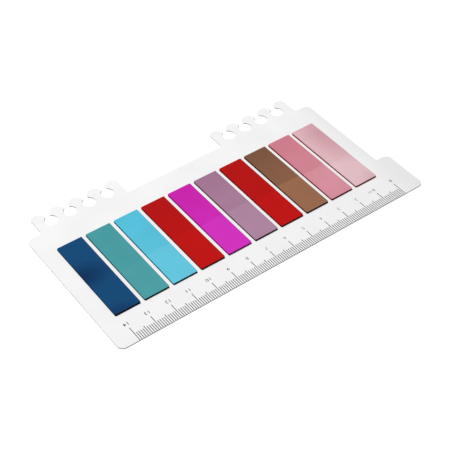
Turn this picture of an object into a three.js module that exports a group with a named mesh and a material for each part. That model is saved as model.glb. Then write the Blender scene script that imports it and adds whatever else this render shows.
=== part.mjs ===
// Sticky index tabs on a ruler card: ten pads of coloured film tabs lie side by side
// on a thin translucent card. One long edge of the card is a 14 cm ruler with a thumb
// tab at its zero end, and the other long edge carries two combs of open ring holes
// that clip into a loose-leaf binder.
//
// Millimetres. X runs along the ruler from its 14 end to its 0 end, Y from the ruler
// edge to the combs, Z up. The origin is under the middle of the whole outline.
import * as THREE from "three";

// Film tabs: each pad is a stack of equal films, stuck together along their far half.
const TAB_WIDTH = 12;
const TAB_LENGTH = 45;
const FILM_THICKNESS = 0.05;
const FILMS_IN_A_PAD = 20;
const GAP_BETWEEN_PADS = 2;
const FILM_ROUGHNESS = 0.35;

// The pads in order along the ruler, from its 14 end to its 0 end.
const PADS = [
  { name: "pad_01_navy", colour: 0x1a4975 },
  { name: "pad_02_teal", colour: 0x4b9aa1 },
  { name: "pad_03_sky_blue", colour: 0x5fc1dc },
  { name: "pad_04_red", colour: 0xb61d1c },
  { name: "pad_05_magenta", colour: 0xce32b2 },
  { name: "pad_06_mauve", colour: 0xa8819b },
  { name: "pad_07_red", colour: 0xb51d1d },
  { name: "pad_08_brown", colour: 0x88604b },
  { name: "pad_09_rose_pink", colour: 0xd28594 },
  { name: "pad_10_pale_pink", colour: 0xd7aeb5 },
];

// Card: a die-cut sheet. Its body goes round the row of pads with these margins.
const CARD_THICKNESS = 0.5;
const CARD_COLOUR = 0xe9eced;
const CARD_ROUGHNESS = 0.45;
const SIDE_MARGIN = 7.75;
const RULER_MARGIN = 15.75;
const COMB_MARGIN = 12.5;
const CARD_CORNER_RADIUS = 3;

// Thumb tab: the ruler edge runs on past the body at the zero end.
const THUMB_LENGTH = 6.5;
const THUMB_DEPTH = 24;
const THUMB_FILLET = 1;

// Combs: loose-leaf ring holes, each open to the outside through a narrow neck
// between two round-headed fingers.
const HOLES_IN_A_COMB = 4;
const HOLE_PITCH = 9.5;
const HOLE_DIAMETER = 6;
const HOLE_OVER_BODY = 4.6;
const NECK_WIDTH = 2.5;
const NECK_RADIUS = 0.25;
const END_HOLE_TO_COMB_SIDE = 7.5;
const COMB_FILLET = 1.2;

// Each arc of the outline is drawn with twice this many straight pieces.
const ARC_DIVISIONS = 6;

const PAD_HEIGHT = FILM_THICKNESS * FILMS_IN_A_PAD;
const PAD_PITCH = TAB_WIDTH + GAP_BETWEEN_PADS;
const BODY_WIDTH = PADS.length * PAD_PITCH - GAP_BETWEEN_PADS + 2 * SIDE_MARGIN;
const BODY_DEPTH = RULER_MARGIN + TAB_LENGTH + COMB_MARGIN;

// A neck is the arc of the hole, a small rounding at each lip, then the side of a head.
const HOLE_RADIUS = HOLE_DIAMETER / 2;
const LIP_ACROSS = NECK_WIDTH / 2 + NECK_RADIUS;
const LIP_OVER_HOLE = Math.sqrt((HOLE_RADIUS + NECK_RADIUS) ** 2 - LIP_ACROSS ** 2);
const LIP_ANGLE = Math.atan2(LIP_OVER_HOLE, LIP_ACROSS);
const HEAD_RADIUS = (HOLE_PITCH - NECK_WIDTH) / 2;
const END_HEAD_RADIUS = END_HOLE_TO_COMB_SIDE - NECK_WIDTH / 2 - HEAD_RADIUS;
const COMB_WIDTH = (HOLES_IN_A_COMB - 1) * HOLE_PITCH + 2 * END_HOLE_TO_COMB_SIDE;
const COMB_HEIGHT = HOLE_OVER_BODY + LIP_OVER_HOLE + HEAD_RADIUS;

// The combs stand as far apart as the straight part of the body's edge lets them, by a
// whole number of pitches, so that both find rings of one binder.
const COMB_ROOT = COMB_WIDTH + 2 * COMB_FILLET;
const ROOM_FOR_COMBS = BODY_WIDTH - 2 * CARD_CORNER_RADIUS;
const PITCHES_BETWEEN_COMBS = Math.floor((ROOM_FOR_COMBS - COMB_ROOT) / HOLE_PITCH);

// The outline's box, centred on the origin.
const CARD_WIDTH = BODY_WIDTH + THUMB_LENGTH;
const CARD_DEPTH = BODY_DEPTH + COMB_HEIGHT;
const LEFT = -CARD_WIDTH / 2;
const RIGHT = LEFT + BODY_WIDTH;
const THUMB_END = RIGHT + THUMB_LENGTH;
const RULER_EDGE = -CARD_DEPTH / 2;
const BODY_EDGE = RULER_EDGE + BODY_DEPTH;
const BODY_MIDDLE = (LEFT + RIGHT) / 2;

const EAST = 0;
const NORTH = Math.PI / 2;
const WEST = Math.PI;
const SOUTH = 1.5 * Math.PI;

// Adds a convex corner of the outline: the outline keeps the card on its left hand and
// turns left about (x, y) from one compass direction of the radius to the next.
function turnLeft(outline, x, y, radius, from, to) {
  outline.absarc(x, y, radius, from, to, false);
}

// Adds a concave corner of the outline, where it turns right about (x, y).
function turnRight(outline, x, y, radius, from, to) {
  outline.absarc(x, y, radius, from, to, true);
}

// One comb, drawn from the foot at its high X side to the foot at its low X side. It
// closes along its root, where it meets the body of the card face to face.
function combOutline(middle) {
  const outline = new THREE.Shape();
  const highSide = middle + COMB_WIDTH / 2;
  const lowSide = middle - COMB_WIDTH / 2;
  const holeY = BODY_EDGE + HOLE_OVER_BODY;
  const headY = holeY + LIP_OVER_HOLE;
  const topY = headY + HEAD_RADIUS;
  const endHeadY = topY - END_HEAD_RADIUS;

  const footY = BODY_EDGE + COMB_FILLET;
  turnRight(outline, highSide + COMB_FILLET, footY, COMB_FILLET, SOUTH, WEST);
  turnLeft(outline, highSide - END_HEAD_RADIUS, endHeadY, END_HEAD_RADIUS, EAST, NORTH);

  for (let hole = 0; hole < HOLES_IN_A_COMB; hole += 1) {
    const x = highSide - END_HOLE_TO_COMB_SIDE - hole * HOLE_PITCH;
    const highHead = x + HOLE_PITCH / 2;
    const lowHead = x - HOLE_PITCH / 2;
    turnLeft(outline, highHead, headY, HEAD_RADIUS, NORTH, WEST);
    turnLeft(outline, x + LIP_ACROSS, headY, NECK_RADIUS, WEST, WEST + LIP_ANGLE);
    turnRight(outline, x, holeY, HOLE_RADIUS, LIP_ANGLE, SOUTH);
    turnRight(outline, x, holeY, HOLE_RADIUS, SOUTH, WEST - LIP_ANGLE);
    turnLeft(outline, x - LIP_ACROSS, headY, NECK_RADIUS, -LIP_ANGLE, EAST);
    turnLeft(outline, lowHead, headY, HEAD_RADIUS, EAST, NORTH);
  }

  turnLeft(outline, lowSide + END_HEAD_RADIUS, endHeadY, END_HEAD_RADIUS, NORTH, WEST);
  turnRight(outline, lowSide - COMB_FILLET, footY, COMB_FILLET, EAST, SOUTH);
  outline.closePath();
  return outline;
}

// The body of the card with its thumb tab, drawn counterclockwise from the corner
// where the ruler edge meets the 14 end.
function bodyOutline() {
  const r = CARD_CORNER_RADIUS;
  const f = THUMB_FILLET;
  const thumbTop = RULER_EDGE + THUMB_DEPTH;
  const outline = new THREE.Shape();

  turnLeft(outline, LEFT + r, RULER_EDGE + r, r, WEST, SOUTH);
  turnLeft(outline, THUMB_END - r, RULER_EDGE + r, r, SOUTH, 2 * Math.PI);
  turnLeft(outline, THUMB_END - r, thumbTop - r, r, EAST, NORTH);
  turnRight(outline, RIGHT + f, thumbTop + f, f, SOUTH, WEST);
  turnLeft(outline, RIGHT - r, BODY_EDGE - r, r, EAST, NORTH);
  turnLeft(outline, LEFT + r, BODY_EDGE - r, r, NORTH, WEST);
  outline.closePath();
  return outline;
}

// A flat sheet of the card's stock, its underside at Z = 0.
function sheetGeometry(outline) {
  return new THREE.ExtrudeGeometry(outline, {
    depth: CARD_THICKNESS,
    bevelEnabled: false,
    curveSegments: ARC_DIVISIONS,
  });
}

// A plain stack of films, its underside on the card.
function padGeometry() {
  const pad = new THREE.BoxGeometry(TAB_WIDTH, TAB_LENGTH, PAD_HEIGHT);
  pad.translate(0, 0, PAD_HEIGHT / 2);
  return pad;
}

function namedMesh(name, geometry, colour, roughness) {
  const material = new THREE.MeshStandardMaterial({ color: colour, roughness, metalness: 0 });
  const mesh = new THREE.Mesh(geometry, material);
  mesh.name = name;
  return mesh;
}

const indexTabs = new THREE.Group();
indexTabs.name = "index_tabs_on_ruler_card";

// The real card is one sheet. Its body and its combs are solids of their own here, so
// that each stays a simple shape.
const toComb = (PITCHES_BETWEEN_COMBS * HOLE_PITCH) / 2;
const SHEETS = [
  { name: "ruler_card", outline: bodyOutline() },
  { name: "comb_14_end", outline: combOutline(BODY_MIDDLE - toComb) },
  { name: "comb_0_end", outline: combOutline(BODY_MIDDLE + toComb) },
];
SHEETS.forEach(({ name, outline }) => {
  indexTabs.add(namedMesh(name, sheetGeometry(outline), CARD_COLOUR, CARD_ROUGHNESS));
});

PADS.forEach(({ name, colour }, place) => {
  const pad = namedMesh(name, padGeometry(), colour, FILM_ROUGHNESS);
  const x = LEFT + SIDE_MARGIN + TAB_WIDTH / 2 + place * PAD_PITCH;
  const y = RULER_EDGE + RULER_MARGIN + TAB_LENGTH / 2;
  pad.position.set(x, y, CARD_THICKNESS);
  indexTabs.add(pad);
});

export default indexTabs;
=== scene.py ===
"""Sticky index tabs on a ruler card, dressed for a studio photograph.

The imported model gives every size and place. This script turns its plain sheets and
blocks into a die-cut card of frosted plastic with a printed scale, and into ten pads of
separate coloured films, and sets up the floor, the light and the camera.
"""

import logging
import math
import random
from dataclasses import dataclass, field
from enum import Enum
from typing import Any

import bmesh
import bpy
from mathutils import Matrix, Vector


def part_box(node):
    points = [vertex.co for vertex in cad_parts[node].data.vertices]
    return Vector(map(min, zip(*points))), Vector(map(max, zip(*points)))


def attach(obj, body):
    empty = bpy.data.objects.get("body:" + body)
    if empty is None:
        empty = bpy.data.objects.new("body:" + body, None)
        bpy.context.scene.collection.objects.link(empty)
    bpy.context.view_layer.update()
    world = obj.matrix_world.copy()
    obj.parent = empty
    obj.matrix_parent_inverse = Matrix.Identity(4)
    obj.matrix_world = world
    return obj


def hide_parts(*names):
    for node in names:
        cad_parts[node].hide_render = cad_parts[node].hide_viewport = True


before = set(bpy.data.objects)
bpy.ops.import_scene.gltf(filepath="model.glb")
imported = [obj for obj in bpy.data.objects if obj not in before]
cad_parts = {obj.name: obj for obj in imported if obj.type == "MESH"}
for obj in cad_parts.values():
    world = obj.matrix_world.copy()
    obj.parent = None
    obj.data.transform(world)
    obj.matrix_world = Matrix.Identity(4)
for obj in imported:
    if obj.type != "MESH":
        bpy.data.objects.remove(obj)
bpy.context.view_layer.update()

LOG = logging.getLogger("index_tabs")
MM = 0.001
MM_IN_CM = 10
WELD = 0.001 * MM
ALONG_X = Vector((1, 0, 0))
ALONG_Y = Vector((0, 1, 0))
BODY = "root"
CARD_NODES = ("ruler_card", "comb_14_end", "comb_0_end")

# The value that smooth noise varies about, and the limits that most of it lies within.
MEAN_NOISE = 0.5
NOISE_LIMITS = (0.3, 0.7)

Colour = tuple[float, float, float, float]


def linear(channel: int) -> float:
    """Turns one channel of a colour on a screen into the linear one.

    Args:
        channel: The channel, 0 to 255.

    Returns:
        The linear channel, 0 to 1.
    """
    toe, slope, offset, power = 0.04045, 12.92, 0.055, 2.4
    share = channel / 255
    if share <= toe:
        return share / slope
    return ((share + offset) / (1 + offset)) ** power


def screen_colour(red: int, green: int, blue: int) -> Colour:
    """The linear, opaque colour that looks like this one, 0 to 255, on a screen."""
    return (linear(red), linear(green), linear(blue), 1.0)


def deeper(colour: Colour, widths: float) -> Colour:
    """The colour of a clear film where light goes through it so many times over."""
    red, green, blue, alpha = colour
    return (red**widths, green**widths, blue**widths, alpha)


class Signal:
    """A number that varies over a surface: a node socket on which sums are written."""

    def __init__(self, board: "Board", socket: bpy.types.NodeSocket) -> None:
        """Wraps the output socket that gives the number, and its board."""
        self.board = board
        self.socket = socket

    def __add__(self, other: "Signal | float") -> "Signal":
        """Adds a number or another signal."""
        return self.board.maths("ADD", self, other)

    __radd__ = __add__

    def __sub__(self, other: "Signal | float") -> "Signal":
        """Takes a number or another signal away."""
        return self.board.maths("SUBTRACT", self, other)

    def __rsub__(self, other: "Signal | float") -> "Signal":
        """Is taken away from a number, as in 1 - mask."""
        return self.board.maths("SUBTRACT", other, self)

    def __mul__(self, other: "Signal | float") -> "Signal":
        """Multiplies by a number or another signal."""
        return self.board.maths("MULTIPLY", self, other)

    __rmul__ = __mul__


@dataclass(frozen=True)
class Grain:
    """How fine a smooth noise is: its features in a metre, and its finer layers."""

    scale: float
    detail: float


class Board:
    """A node tree under construction."""

    MIX_FACTOR, MIX_A, MIX_B, MIX_RESULT = 0, 6, 7, 2

    def __init__(self, tree: bpy.types.NodeTree) -> None:
        """Takes the tree to build in, which is a material's or the world's."""
        self.tree = tree

    def feed(self, socket: bpy.types.NodeSocket, value: Any) -> None:
        """Links a signal or a socket to an input, or sets the input to a value.

        Args:
            socket: The input socket.
            value: A Signal, an output socket, or a plain value.
        """
        if isinstance(value, Signal):
            value = value.socket
        if isinstance(value, bpy.types.NodeSocket):
            self.tree.links.new(value, socket)
        else:
            socket.default_value = value

    def node(
        self, kind: str, settings: dict[str, Any], sockets: dict[str | int, Any]
    ) -> bpy.types.Node:
        """Adds one node.

        Args:
            kind: The node's type.
            settings: Its own properties, set before its sockets.
            sockets: Values or links for its inputs, by name or number.

        Returns:
            The new node.
        """
        made = self.tree.nodes.new(kind)
        for name, value in settings.items():
            setattr(made, name, value)
        for name, value in sockets.items():
            self.feed(made.inputs[name], value)
        return made

    def maths(self, operation: str, *values: Signal | float) -> Signal:
        """What a Math node's operation makes of signals and numbers, in order."""
        made = self.node("ShaderNodeMath", {"operation": operation}, dict(enumerate(values)))
        return Signal(self, made.outputs[0])

    def mix(self, way: str, share: Signal | float, first: Any, second: Any) -> bpy.types.NodeSocket:
        """A Mix node on two colours.

        Args:
            way: The Mix node's blend type.
            share: The share of the second colour, or of what it does to the first.
            first: The first colour or its socket.
            second: The second colour or its socket.

        Returns:
            The mixed colour.
        """
        settings = {"data_type": "RGBA", "blend_type": way}
        sockets = {self.MIX_FACTOR: share, self.MIX_A: first, self.MIX_B: second}
        return self.node("ShaderNodeMix", settings, sockets).outputs[self.MIX_RESULT]

    def blend(self, share: Signal, first: Any, second: Any) -> bpy.types.NodeSocket:
        """A colour that goes from first to second with share."""
        return self.mix("MIX", share, first, second)

    def multiply(self, first: Any, second: Any) -> bpy.types.NodeSocket:
        """One colour times another."""
        return self.mix("MULTIPLY", 1.0, first, second)

    def shows_set(self) -> Signal:
        """1 for a ray that shows the set: from the camera, off gloss or through glass.

        Returns:
            The signal.
        """
        path = self.node("ShaderNodeLightPath", {}, {})
        kinds = ("Is Camera Ray", "Is Glossy Ray", "Is Transmission Ray")
        camera, *others = (Signal(self, path.outputs[kind]) for kind in kinds)
        return sum(others, camera)


class Paint(Board):
    """A material under construction, with its Principled shader in place."""

    WALL_LEVEL, FLAT_LEVEL = 0.6, 0.985

    def __init__(self, name: str) -> None:
        """Makes a new material with nodes.

        Args:
            name: The material's name.
        """
        self.material = bpy.data.materials.new(name)
        self.material.use_nodes = True
        super().__init__(self.material.node_tree)
        self.shader = self.tree.nodes["Principled BSDF"]

    def place(self) -> bpy.types.NodeSocket:
        """Object coordinates, which are the part's own frame in metres."""
        return self.node("ShaderNodeTexCoord", {}, {}).outputs["Object"]

    def stretched(self, scale: tuple[float, float, float]) -> bpy.types.NodeSocket:
        """Object coordinates scaled along each axis, for grain with a direction."""
        sockets = {"Vector": self.place(), "Scale": scale}
        return self.node("ShaderNodeMapping", {}, sockets).outputs["Vector"]

    def axis(self, vector: bpy.types.NodeSocket, name: str) -> Signal:
        """One of the X, Y and Z parts of a vector."""
        made = self.node("ShaderNodeSeparateXYZ", {}, {0: vector})
        return Signal(self, made.outputs[name])

    def noise(self, vector: bpy.types.NodeSocket, grain: Grain) -> Signal:
        """Smooth noise between 0 and 1, which varies about the mean."""
        sockets = {"Vector": vector, "Scale": grain.scale, "Detail": grain.detail}
        return Signal(self, self.node("ShaderNodeTexNoise", {}, sockets).outputs[0])

    def ramp(self, value: Signal, low: float, high: float) -> Signal:
        """A smooth step from 0 to 1.

        Args:
            value: The signal to read.
            low: The value up to which the step is 0.
            high: The value from which it is 1.

        Returns:
            The step.
        """
        settings = {"interpolation_type": "SMOOTHSTEP"}
        sockets = {"Value": value, "From Min": low, "From Max": high}
        return Signal(self, self.node("ShaderNodeMapRange", settings, sockets).outputs[0])

    def side_faces(self) -> Signal:
        """A mask of the cut edges.

        Returns:
            1 on walls and 0 on faces that look up or down.
        """
        facing = self.node("ShaderNodeNewGeometry", {}, {}).outputs["Normal"]
        level = self.maths("ABSOLUTE", self.axis(facing, "Z"))
        return 1 - self.ramp(level, self.WALL_LEVEL, self.FLAT_LEVEL)

    def relief(self, height: Signal, strength: float, depth: float) -> None:
        """Gives the surface a fine relief.

        Args:
            height: The height over the surface, 0 to 1.
            strength: The share of the relief that shows.
            depth: The height of the relief in metres.
        """
        sockets = {"Height": height, "Strength": strength, "Distance": depth}
        bump = self.node("ShaderNodeBump", {}, sockets)
        self.feed(self.shader.inputs["Normal"], bump.outputs["Normal"])

    def finish(self, **sockets: Any) -> bpy.types.Material:
        """Sets the shader's own sockets, named with underscores for spaces.

        Args:
            sockets: Values or links by socket name.

        Returns:
            The finished material.
        """
        for name, value in sockets.items():
            self.feed(self.shader.inputs[name.replace("_", " ")], value)
        return self.material


@dataclass(frozen=True)
class FrostedSheet:
    """Milky polypropylene sheet with a fine matt grain and greyer cut edges, partly painted shade.

    Along X, painted shade for the light's falloff greys it between the two given X limits.
    """

    clean_until: float
    handled_from: float
    light: Colour = screen_colour(243, 243, 243)
    dark: Colour = screen_colour(239, 239, 240)
    handled: Colour = screen_colour(232, 232, 232)
    # The sheet's own edge tone, and painted shade on walls that face away from the light.
    cut_edge: Colour = screen_colour(212, 213, 215)
    clouds: Grain = Grain(scale=55, detail=2)
    grain: Grain = Grain(scale=2600, detail=3)
    relief_share: float = 0.25
    relief_depth: float = 0.02 * MM
    roughness: float = 0.6
    roughness_spread: float = 0.16
    gloss: float = 0.25

    def material(self) -> bpy.types.Material:
        """Builds the finish, with painted shade greying it towards the thumb tab.

        Returns:
            The material.
        """
        paint = Paint("frosted_sheet")
        grain = paint.noise(paint.place(), self.grain)
        clouds = paint.noise(paint.place(), self.clouds)
        milky = paint.blend(paint.ramp(clouds, *NOISE_LIMITS), self.light, self.dark)
        # Painted shade: the sheet greys along X towards the thumb tab, where the light falls off.
        along = paint.axis(paint.place(), "X")
        painted_shade_share = paint.ramp(along, self.clean_until, self.handled_from)
        sheet = paint.blend(painted_shade_share, milky, self.handled)
        # Walls and rounded rims take a greyer colour: the sheet's edge tone and painted shade.
        colour = paint.blend(paint.side_faces(), sheet, self.cut_edge)
        paint.relief(grain, self.relief_share, self.relief_depth)
        return paint.finish(
            Base_Color=colour,
            Roughness=self.roughness + self.roughness_spread * (grain - MEAN_NOISE),
            Specular_IOR_Level=self.gloss,
        )


@dataclass(frozen=True)
class ScaleInk:
    """Dark grey printing ink, a little uneven as on a screen print."""

    dense: Colour = screen_colour(42, 44, 48)
    thin: Colour = screen_colour(68, 70, 74)
    cover: Grain = Grain(scale=1800, detail=2)
    cover_limits: tuple[float, float] = (0.35, 0.7)
    roughness: float = 0.45
    roughness_spread: float = 0.2
    gloss: float = 0.3

    def material(self) -> bpy.types.Material:
        """Builds the finish.

        Returns:
            The material.
        """
        paint = Paint("scale_ink")
        cover = paint.noise(paint.place(), self.cover)
        return paint.finish(
            Base_Color=paint.blend(paint.ramp(cover, *self.cover_limits), self.dense, self.thin),
            Roughness=self.roughness + self.roughness_spread * cover,
            Specular_IOR_Level=self.gloss,
        )


@dataclass(frozen=True)
class SoftPatch:
    """A soft-edged oval on a pad where the film's colour is tinted darker, mostly as painted
    reflection.

    Its middle is measured from the pad's lowest corner, and its reach from its middle.
    """

    middle: tuple[float, float]
    reach: tuple[float, float]
    tint: Colour

    def cover(self, paint: Paint, corner: tuple[float, float]) -> Signal:
        """How fully the patch covers each point, 1 at its middle and 0 past its reach.

        Args:
            paint: The material.
            corner: The X and Y of the pad's lowest corner.

        Returns:
            The share, 0 to 1.
        """
        spot = paint.place()
        steps = []
        for name, start, middle, reach in zip("XY", corner, self.middle, self.reach):
            step = (paint.axis(spot, name) - (start + middle)) * (1 / reach)
            steps.append(step * step)
        away = paint.maths("SQRT", sum(steps[1:], steps[0]))
        return paint.ramp(1 - away, 0.0, 1.0)


@dataclass(frozen=True)
class FilmShade:
    """How one colour of film looks: free, stuck down, at its cut edges, in patches."""

    free: Colour
    stuck: Colour
    edge_widths: float
    gloss: float = 0.1
    patches: tuple[SoftPatch, ...] = ()


@dataclass(frozen=True)
class TabFilm:
    """Coloured clear film: deeper where it is stuck down, and very deep at its edges.

    The adhesive lies between adhesive_end and far_end along Y. Its line wanders a little,
    and least_stuck is the share of the stuck colour just past the line.
    """

    slot: str
    shade: FilmShade
    corner: tuple[float, float]
    adhesive_end: float
    far_end: float
    line_waves: Grain = Grain(scale=160, detail=2)
    line_wander: float = 0.9 * MM
    line_softness: float = 0.2 * MM
    least_stuck: float = 0.6
    clouds: Grain = Grain(scale=70, detail=2)
    cloud_share: float = 0.65
    streaks: Grain = Grain(scale=1, detail=3)
    streak_stretch: tuple[float, float, float] = (900, 45, 900)
    thin: Colour = (1.03, 1.03, 1.03, 1)
    thick: Colour = (0.96, 0.96, 0.96, 1)
    grain: Grain = Grain(scale=3200, detail=2)
    relief_share: float = 0.15
    relief_depth: float = 0.01 * MM
    roughness: float = 0.36
    roughness_spread: float = 0.12
    cut_matter: float = 0.45

    def adhesive(self, paint: Paint) -> Signal:
        """How fully the film is stuck: 0 along its free half, most at its far end.

        Args:
            paint: The material.

        Returns:
            The share, 0 to 1.
        """
        waves = paint.noise(paint.place(), self.line_waves) - MEAN_NOISE
        along = paint.axis(paint.place(), "Y") + waves * self.line_wander
        soft = self.line_softness
        stuck = paint.ramp(along, self.adhesive_end - soft, self.adhesive_end + soft)
        grows = paint.ramp(along, self.adhesive_end, self.far_end)
        return stuck * (self.least_stuck + (1 - self.least_stuck) * grows)

    def unevenness(self, paint: Paint) -> bpy.types.NodeSocket:
        """The tint of the film's clouds and of its streaks along Y.

        Args:
            paint: The material.

        Returns:
            A grey a little over 1 where the film is thin, and under 1 where it is thick.
        """
        clouds = paint.noise(paint.place(), self.clouds)
        streaks = paint.noise(paint.stretched(self.streak_stretch), self.streaks)
        depth = clouds * self.cloud_share + streaks * (1 - self.cloud_share)
        return paint.blend(paint.ramp(depth, *NOISE_LIMITS), self.thin, self.thick)

    def material(self) -> bpy.types.Material:
        """Builds the finish.

        Returns:
            The material.
        """
        paint = Paint(self.slot)
        shade = self.shade
        halves = paint.blend(self.adhesive(paint), shade.free, shade.stuck)
        face = paint.multiply(halves, self.unevenness(paint))
        # Soft patches tint the face darker: mostly painted reflection on the film.
        for patch in shade.patches:
            tinted = paint.multiply(face, patch.tint)
            face = paint.blend(patch.cover(paint, self.corner), face, tinted)
        cut = paint.side_faces()
        grain = paint.noise(paint.place(), self.grain)
        uneven = self.roughness_spread * (grain - MEAN_NOISE)
        paint.relief(grain, self.relief_share, self.relief_depth)
        return paint.finish(
            Base_Color=paint.blend(cut, face, deeper(shade.free, shade.edge_widths)),
            Roughness=self.roughness + uneven + self.cut_matter * cut,
            Specular_IOR_Level=shade.gloss,
        )


def placed(name: str, data: bpy.types.ID) -> bpy.types.Object:
    """Makes an object of a mesh, a curve, a light or a camera, and puts it in the scene.

    Args:
        name: The object's name.
        data: What it is made of.

    Returns:
        The object, at the origin.
    """
    made = bpy.data.objects.new(name, data)
    bpy.context.scene.collection.objects.link(made)
    return made


def finished(
    name: str, mesh: bmesh.types.BMesh, material: bpy.types.Material
) -> bpy.types.Object:
    """Makes an object of a mesh under construction, with one finish.

    Args:
        name: The object's name.
        mesh: Its mesh. It is freed.
        material: Its finish.

    Returns:
        The object, at the origin.
    """
    data = bpy.data.meshes.new(name)
    mesh.to_mesh(data)
    mesh.free()
    data.materials.append(material)
    return placed(name, data)


def dressed(
    name: str, mesh: bmesh.types.BMesh, material: bpy.types.Material
) -> bpy.types.Object:
    """Makes a finished piece and fixes it to the part.

    Args:
        name: The piece's name.
        mesh: Its mesh in the part's frame. It is freed.
        material: Its finish.

    Returns:
        The piece, riding on the part's one body.
    """
    piece = finished(name, mesh, material)
    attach(piece, BODY)
    return piece


def pour(source: bmesh.types.BMesh, target: bmesh.types.BMesh) -> None:
    """Adds one mesh under construction to another.

    Args:
        source: The mesh to add. It is freed.
        target: The mesh that it goes into.
    """
    carrier = bpy.data.meshes.new("carrier")
    source.to_mesh(carrier)
    source.free()
    target.from_mesh(carrier)
    bpy.data.meshes.remove(carrier)


def cut_across(mesh: bmesh.types.BMesh, direction: Vector, distance: float) -> None:
    """Adds edges to a mesh where a plane crosses it, and takes nothing away.

    Args:
        mesh: The mesh.
        direction: The plane's normal, of length 1.
        distance: How far along it from the origin the plane is.
    """
    bmesh.ops.bisect_plane(
        mesh,
        geom=mesh.verts[:] + mesh.edges[:] + mesh.faces[:],
        dist=WELD,
        plane_co=direction * distance,
        plane_no=direction,
    )


def round_edges(
    mesh: bmesh.types.BMesh, edges: list[bmesh.types.BMEdge], radius: float, steps: int
) -> None:
    """Rounds some edges of a mesh.

    Args:
        mesh: The mesh.
        edges: The edges.
        radius: Their new radius.
        steps: How many faces go round each.
    """
    bmesh.ops.bevel(
        mesh,
        geom=edges,
        offset=radius,
        offset_type="OFFSET",
        segments=steps,
        profile=0.5,
        affect="EDGES",
        material=-1,
    )


def card_finish() -> FrostedSheet:
    """The card's finish, with painted shade greying it from the end of the scale over the thumb
    tab.
    """
    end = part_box("ruler_card")[1].x
    return FrostedSheet(clean_until=end - 17 * MM, handled_from=end - 3 * MM)


@dataclass
class RulerCard:
    """The die-cut card: the body, the thumb tab and both combs as one sheet.

    An edge that turns by more than sharp is a cut edge, one that turns by less than
    flat is dissolved, and a face that leans by more than lean is shaded smooth.
    """

    finish: FrostedSheet = field(default_factory=card_finish)
    edge_radius: float = 0.1 * MM
    edge_steps: int = 2
    sharp: float = math.radians(45)
    flat: float = math.radians(0.5)
    lean: float = math.radians(5)

    def outline_sheet(self) -> bmesh.types.BMesh:
        """Joins the card's solids into one sheet without walls between them.

        Returns:
            The sheet with its sharp cut edges.
        """
        sheet = bmesh.new()
        for node in CARD_NODES:
            sheet.from_mesh(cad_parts[node].data)
        bmesh.ops.remove_doubles(sheet, verts=sheet.verts, dist=WELD)
        roots = [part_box(node) for node in CARD_NODES[1:]]
        root_line = roots[0][0].y
        for x in (end.x for root in roots for end in root):
            cut_across(sheet, ALONG_X, x)
        bmesh.ops.remove_doubles(sheet, verts=sheet.verts, dist=WELD)
        inner = [
            face
            for face in sheet.faces
            if all(abs(corner.co.y - root_line) < WELD for corner in face.verts)
            and any(low.x < face.calc_center_median().x < high.x for low, high in roots)
        ]
        bmesh.ops.delete(sheet, geom=inner, context="FACES")
        bmesh.ops.dissolve_limit(
            sheet, angle_limit=self.flat, verts=sheet.verts, edges=sheet.edges
        )
        return sheet

    def build(self) -> bpy.types.Object:
        """Rounds the cut edges and dresses the sheet.

        Returns:
            The finished card.
        """
        sheet = self.outline_sheet()
        rim = [e for e in sheet.edges if e.calc_face_angle(0.0) > self.sharp]
        round_edges(sheet, rim, self.edge_radius, self.edge_steps)
        for face in sheet.faces:
            face.smooth = abs(face.normal.z) < math.cos(self.lean)
        card = dressed("ruler_card_sheet", sheet, self.finish.material())
        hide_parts(*CARD_NODES)
        return card


class Tick(Enum):
    """The three lengths of tick on the scale, from the ruler edge, in metres."""

    MILLIMETRE = 4.2 * MM
    HALF = 5.1 * MM
    CENTIMETRE = 7.7 * MM

    @classmethod
    def at(cls, millimetre: int) -> "Tick":
        """The kind of tick that stands at a whole millimetre.

        Args:
            millimetre: The tick's distance from the zero tick.

        Returns:
            The kind.
        """
        if millimetre % MM_IN_CM == 0:
            return cls.CENTIMETRE
        if millimetre % (MM_IN_CM // 2) == 0:
            return cls.HALF
        return cls.MILLIMETRE


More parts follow.
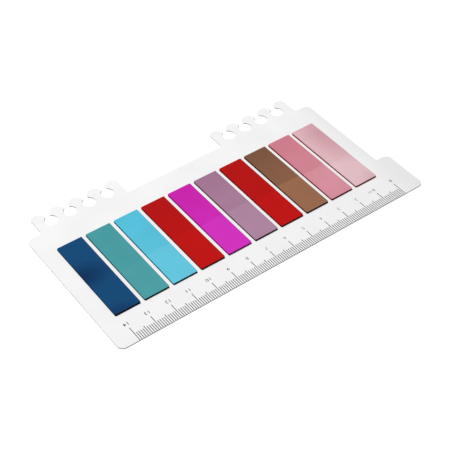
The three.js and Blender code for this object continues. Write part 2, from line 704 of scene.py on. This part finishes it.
@dataclass
class PrintedScale:
    """The printed centimetre scale, whose numbers are read from the comb side.

    A number stands off its tick by aside for each of its figures, or as aside_of says,
    and the unit stands beside the number unit_at. The heavy numbers have a wider stroke.
    """

    finish: ScaleInk = field(default_factory=ScaleInk)
    centimetres: int = 14
    last_tick_from_end: float = 9.0 * MM
    tick_width: float = 0.32 * MM
    clear_of_edge: float = 0.06 * MM
    film: float = 0.012 * MM
    number_height: float = 1.62 * MM
    number_middle: float = 9.95 * MM
    unit: str = "cm"
    unit_at: int = 1
    unit_height: float = 1.0 * MM
    unit_beside: float = 1.85 * MM
    curve_steps: int = 4
    letter_spacing: float = 1.1
    light_stroke: float = -0.013
    heavy_stroke: float = 0.006
    heavy_numbers: tuple[int, ...] = (0, 1, 9, 10, 11, 12, 13, 14)
    widening: float = 1.15
    aside: float = -0.1 * MM
    aside_of: dict[int, float] = field(default_factory=lambda: {0: 0.25 * MM, 1: 0.35 * MM})
    edge: float = field(init=False)
    top: float = field(init=False)
    zero: float = field(init=False)

    def __post_init__(self) -> None:
        """Finds the card's ruler edge and top face, and where along it the zero tick is."""
        low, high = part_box("ruler_card")
        self.edge = low.y
        self.top = high.z
        self.zero = low.x + self.last_tick_from_end + self.centimetres * MM_IN_CM * MM

    def tick_line(self, ink: bmesh.types.BMesh, millimetre: int) -> None:
        """Adds one tick.

        Args:
            ink: The mesh that the tick goes into.
            millimetre: Its distance from the zero tick.
        """
        length = Tick.at(millimetre).value - self.clear_of_edge
        middle = Vector(
            (
                self.zero - millimetre * MM,
                self.edge + self.clear_of_edge + length / 2,
                self.top + self.film / 2,
            )
        )
        size = Matrix.Diagonal((self.tick_width, length, self.film, 1))
        bmesh.ops.create_cube(ink, size=1, matrix=Matrix.Translation(middle) @ size)

    def lettering(self, text: str, stroke: float) -> bmesh.types.BMesh:
        """Shapes a short text as a flat sheet of even triangles.

        Args:
            text: The characters.
            stroke: How far their outline moves out, in the font's own size.

        Returns:
            The sheet, upright and at the origin, in the font's own size.
        """
        curve = bpy.data.curves.new("lettering", "FONT")
        curve.body = text
        curve.space_character = self.letter_spacing
        curve.offset = stroke
        curve.resolution_u = self.curve_steps
        shape = placed("lettering", curve)
        graph = bpy.context.evaluated_depsgraph_get()
        flat = bpy.data.meshes.new_from_object(shape.evaluated_get(graph))
        bpy.data.objects.remove(shape)
        bpy.data.curves.remove(curve)
        sheet = bmesh.new()
        sheet.from_mesh(flat)
        bpy.data.meshes.remove(flat)
        bmesh.ops.remove_doubles(sheet, verts=sheet.verts, dist=WELD)
        bmesh.ops.beautify_fill(sheet, faces=sheet.faces[:], edges=sheet.edges[:])
        return sheet

    def print_text(
        self,
        ink: bmesh.types.BMesh,
        text: str,
        height: float,
        spot: tuple[float, float],
        stroke: float,
    ) -> None:
        """Adds a text as a closed thin solid, turned to be read from the combs.

        Args:
            ink: The mesh that the text goes into.
            text: The characters.
            height: Their height on the card.
            spot: The X and Y of the text's middle.
            stroke: How far their outline moves out, in the font's own size.
        """
        sheet = self.lettering(text, stroke)
        across = [v.co.x for v in sheet.verts]
        up = [v.co.y for v in sheet.verts]
        scale = height / (max(up) - min(up))
        middle = Vector((max(across) + min(across), max(up) + min(up), 0)) / 2
        bmesh.ops.translate(sheet, verts=sheet.verts, vec=-middle)
        wide = scale * self.widening
        bmesh.ops.scale(sheet, verts=sheet.verts, vec=(wide, scale, 1))
        grown = bmesh.ops.extrude_face_region(sheet, geom=sheet.faces[:])
        raised = [e for e in grown["geom"] if isinstance(e, bmesh.types.BMVert)]
        bmesh.ops.translate(sheet, verts=raised, vec=(0, 0, self.film))
        bmesh.ops.recalc_face_normals(sheet, faces=sheet.faces)
        turned = Matrix.Translation((*spot, self.top)) @ Matrix.Rotation(math.pi, 4, "Z")
        bmesh.ops.transform(sheet, matrix=turned, verts=sheet.verts)
        pour(sheet, ink)

    def number(self, ink: bmesh.types.BMesh, centimetre: int) -> None:
        """Adds the number of one centimetre tick, and beside one of them the unit.

        Args:
            ink: The mesh that the number goes into.
            centimetre: The number.
        """
        aside = self.aside_of.get(centimetre, self.aside * len(str(centimetre)))
        x = self.zero - centimetre * MM_IN_CM * MM + aside
        y = self.edge + self.number_middle
        heavy = centimetre in self.heavy_numbers
        stroke = self.heavy_stroke if heavy else self.light_stroke
        self.print_text(ink, str(centimetre), self.number_height, (x, y), stroke)
        if centimetre == self.unit_at:
            spot = (x - self.unit_beside, y)
            self.print_text(ink, self.unit, self.unit_height, spot, self.light_stroke)

    def build(self) -> bpy.types.Object:
        """Prints the ticks and the numbers.

        Returns:
            The finished scale as one thin piece on the card.
        """
        ink = bmesh.new()
        for millimetre in range(self.centimetres * MM_IN_CM + 1):
            self.tick_line(ink, millimetre)
        for centimetre in range(self.centimetres + 1):
            self.number(ink, centimetre)
        return dressed("printed_scale", ink, self.finish.material())


@dataclass
class FilmPad:
    """One pad: separate films stuck together along their far ends, free at the near.

    Each film fills film_share of its place in the height. Past a slope of settle_length,
    each free end lies closer by settle to the one below. Each film is off its place by a
    random hair, sideways and lengthways.
    """

    node: str
    finish: TabFilm
    seed: int
    films: int = 20
    corner: float = 0.4 * MM
    corner_steps: int = 4
    film_share: float = 0.92
    settle: float = 0.003 * MM
    settle_length: float = 1.5 * MM
    sideways: float = 0.008 * MM
    lengthways: float = 0.008 * MM

    def cut_film(self, size: Vector) -> bmesh.types.BMesh:
        """Cuts one film with small round corners, lying on Z = 0 about the origin.

        Args:
            size: Its width, length and thickness.

        Returns:
            The film.
        """
        film = bmesh.new()
        lifted = Matrix.Translation((0, 0, size.z / 2)) @ Matrix.Diagonal((*size, 1))
        bmesh.ops.create_cube(film, size=1, matrix=lifted)
        upright = [
            e for e in film.edges if abs(e.verts[0].co.z - e.verts[1].co.z) > size.z / 2
        ]
        round_edges(film, upright, self.corner, self.corner_steps)
        return film

    def settle_free_end(self, film: bmesh.types.BMesh, bend: float, drop: float) -> None:
        """Lets the part of a film with no adhesive under it lie a little lower.

        Args:
            film: The film, about the pad's middle.
            bend: Where the adhesive ends, along Y from the pad's middle.
            drop: How far the free part goes down.
        """
        for y in (bend, bend - self.settle_length):
            cut_across(film, ALONG_Y, y)
        low = [v for v in film.verts if v.co.y < bend - self.settle_length + WELD]
        bmesh.ops.translate(film, verts=low, vec=(0, 0, -drop))

    def build(self) -> bpy.types.Object:
        """Stacks the films into the pad's place, each a hair off the one below.

        Returns:
            The finished pad.
        """
        low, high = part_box(self.node)
        middle = (low + high) / 2
        pitch = (high.z - low.z) / self.films
        size = Vector((high.x - low.x, high.y - low.y, pitch * self.film_share))
        dice = random.Random(self.seed)
        stack = bmesh.new()
        for place in range(self.films):
            film = self.cut_film(size)
            self.settle_free_end(film, self.finish.adhesive_end - middle.y, self.settle * place)
            slip = Vector(
                (
                    middle.x + dice.uniform(-self.sideways, self.sideways),
                    middle.y + dice.uniform(-self.lengthways, self.lengthways),
                    low.z + place * pitch,
                )
            )
            bmesh.ops.translate(film, verts=film.verts, vec=slip)
            pour(film, stack)
        material = self.finish.material()
        pad = dressed(self.node + "_films", stack, material)
        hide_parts(self.node)
        return pad


def film_shades() -> dict[str, FilmShade]:
    """The nine shades of film, by the name that a pad's node ends with.

    Returns:
        The shades, each with its free and its stuck colour first.
    """
    navy = screen_colour(14, 71, 116)
    teal = screen_colour(73, 156, 161)
    sky_blue = screen_colour(97, 196, 220)
    red = screen_colour(186, 5, 3)
    magenta = screen_colour(207, 46, 187)
    mauve = screen_colour(172, 131, 157)
    brown = screen_colour(148, 102, 74)
    rose_pink = screen_colour(213, 142, 156)
    pale_pink = screen_colour(227, 191, 196)
    # The navy pad is darker in a soft band past the adhesive's line and at its near end.
    navy_patches = (
        # The band past the line is a painted reflection.
        SoftPatch(
            middle=(-1 * MM, 24.5 * MM), reach=(19 * MM, 10.5 * MM), tint=(0.2, 0.4, 0.53, 1)
        ),
        SoftPatch(middle=(1 * MM, 0.0), reach=(16 * MM, 7 * MM), tint=(0.5, 0.58, 0.68, 1)),
    )
    # The pale pink pad grows darker towards its high X side, most where it is stuck.
    pad_width = 12 * MM
    # Painted reflection: this leaves the low X side lighter, as a sheen on the film.
    pale_pink_patches = (
        SoftPatch(
            middle=(pad_width, 34 * MM), reach=(12.5 * MM, 30 * MM), tint=(0.84, 0.71, 0.76, 1)
        ),
        SoftPatch(middle=(pad_width, 0.0), reach=(11 * MM, 9 * MM), tint=(0.86, 0.83, 0.86, 1)),
    )
    return {
        "navy": FilmShade(
            navy, deeper(navy, 1.01), edge_widths=8.0, gloss=0.06, patches=navy_patches
        ),
        "teal": FilmShade(teal, deeper(teal, 1.055), edge_widths=8.0),
        "sky_blue": FilmShade(sky_blue, deeper(sky_blue, 1.16), edge_widths=8.0),
        "red": FilmShade(red, deeper(red, 1.19), edge_widths=4.0),
        "magenta": FilmShade(magenta, screen_colour(198, 30, 170), edge_widths=3.4),
        "mauve": FilmShade(mauve, deeper(mauve, 1.18), edge_widths=7.0),
        "brown": FilmShade(brown, screen_colour(119, 79, 58), edge_widths=8.0),
        "rose_pink": FilmShade(rose_pink, deeper(rose_pink, 1.23), edge_widths=4.5),
        "pale_pink": FilmShade(
            pale_pink, deeper(pale_pink, 1.25), edge_widths=5.0, patches=pale_pink_patches
        ),
    }


def tab_finishes() -> dict[str, TabFilm]:
    """The finish of each pad, by its node, from the 14 end to the 0 end.

    Returns:
        The finishes, each with its own length of film that is free of adhesive.
    """
    free_lengths = (20.0, 18.5, 20.0, 21.0, 20.5, 20.5, 19.5, 20.5, 19.5, 18.0)
    nodes = sorted(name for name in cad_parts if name.startswith("pad_"))
    shades = film_shades()
    finishes = {}
    for node, free_length in zip(nodes, free_lengths, strict=True):
        low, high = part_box(node)
        number, shade = node.split("_", 2)[1:]
        finishes[node] = TabFilm(
            slot=f"{number}_{shade}_film",
            shade=shades[shade],
            corner=(low.x, low.y),
            adhesive_end=low.y + free_length * MM,
            far_end=high.y,
        )
    return finishes


@dataclass
class Studio:
    """A white floor, one soft light overhead with a little from all round, a camera.

    The lens's place, aim, length and sensor are in millimetres, its roll in degrees, and
    every other size in metres.
    """

    floor_gap: float = 0.02 * MM
    floor_size: float = 6.0
    floor_sides: int = 64
    floor_colour: Colour = (0.8, 0.8, 0.8, 1.0)
    near_glow: Colour = (0.3, 0.3, 0.3, 1.0)
    far_glow: Colour = (1.0, 1.0, 1.0, 1.0)
    glow_grows: tuple[float, float] = (0.25, 1.0)
    white: Colour = (1.0, 1.0, 1.0, 1.0)
    black: Colour = (0.0, 0.0, 0.0, 1.0)
    surround: float = 0.1
    key_place: tuple[float, float, float] = (-0.2, 0.38, 1.45)
    key_size: float = 0.4
    key_power: float = 21.6
    lens_place: tuple[float, float, float] = (-213.81, -286.20, 342.42)
    lens_aim: tuple[float, float, float] = (-6.77, -10.86, 0.5)
    lens_roll: float = 0.419
    lens_length: float = 90.9
    lens_near: float = 0.01
    sensor: float = 36.0

    def floor(self) -> bpy.types.Object:
        """Lays the white floor, which glows, more where the light doesn't reach it.

        Returns:
            The floor, which isn't part of the object.
        """
        mesh = bmesh.new()
        radius = self.floor_size / 2
        bmesh.ops.create_circle(mesh, cap_ends=True, radius=radius, segments=self.floor_sides)
        bmesh.ops.translate(mesh, verts=mesh.verts, vec=(0, 0, -self.floor_gap))
        paint = Paint("white_floor")
        spot = paint.place()
        across, along = (paint.axis(spot, name) for name in "XY")
        away = paint.maths("SQRT", across * across + along * along)
        glow = paint.blend(paint.ramp(away, *self.glow_grows), self.near_glow, self.far_glow)
        material = paint.finish(
            Base_Color=self.floor_colour,
            Roughness=1.0,
            Specular_IOR_Level=0.0,
            Emission_Color=paint.blend(paint.shows_set(), self.black, glow),
            Emission_Strength=1.0,
        )
        floor = finished("floor", mesh, material)
        return floor

    def surroundings(self) -> None:
        """Lights the set evenly from all round, before a backdrop that shows white."""
        world = bpy.data.worlds.new("white_room")
        bpy.context.scene.world = world
        world.use_nodes = True
        board = Board(world.node_tree)
        light, backdrop = (
            board.node("ShaderNodeBackground", {}, {"Color": self.white, "Strength": strength})
            for strength in (self.surround, 1.0)
        )
        room = board.node(
            "ShaderNodeMixShader",
            {},
            {0: board.shows_set(), 1: light.outputs[0], 2: backdrop.outputs[0]},
        )
        board.feed(world.node_tree.nodes["World Output"].inputs["Surface"], room.outputs[0])

    def key_light(self) -> bpy.types.Object:
        """Hangs one large soft light overhead, a little to the left and behind.

        Returns:
            The light.
        """
        data = bpy.data.lights.new("key", "AREA")
        data.shape = "DISK"
        data.size = self.key_size
        data.energy = self.key_power
        key = placed("key", data)
        key.location = self.key_place
        key.rotation_euler = (-Vector(self.key_place)).to_track_quat("-Z", "Y").to_euler()
        return key

    def camera(self) -> bpy.types.Object:
        """Sets the camera where the photograph was taken from.

        Returns:
            The camera.
        """
        data = bpy.data.cameras.new("camera")
        data.lens = self.lens_length
        data.sensor_fit = "HORIZONTAL"
        data.sensor_width = self.sensor
        data.clip_start = self.lens_near
        camera = placed("camera", data)
        place = Vector(self.lens_place) * MM
        ahead = (Vector(self.lens_aim) * MM - place).normalized()
        right = ahead.cross(Vector((0, 0, 1))).normalized()
        level = Matrix((right, right.cross(ahead), -ahead)).transposed().to_4x4()
        roll = Matrix.Rotation(math.radians(self.lens_roll), 4, "Z")
        camera.matrix_world = Matrix.Translation(place) @ level @ roll
        bpy.context.scene.camera = camera
        return camera

    def build(self) -> None:
        """Sets up the floor, the light and the camera, with plain colours."""
        self.camera()
        self.floor()
        self.surroundings()
        self.key_light()
        bpy.context.scene.view_settings.view_transform = "Standard"


def main() -> None:
    """Builds the set and the pieces in order, and reports each one."""
    logging.basicConfig(level=logging.INFO, format="%(name)s: %(message)s")
    Studio().build()
    seeded = enumerate(tab_finishes().items())
    pads = [FilmPad(node, finish, seed) for seed, (node, finish) in seeded]
    for maker in (RulerCard(), PrintedScale(), *pads):
        piece = maker.build()
        LOG.info("%s: %d faces", piece.name, len(piece.data.polygons))


if __name__ == "__main__":
    main()
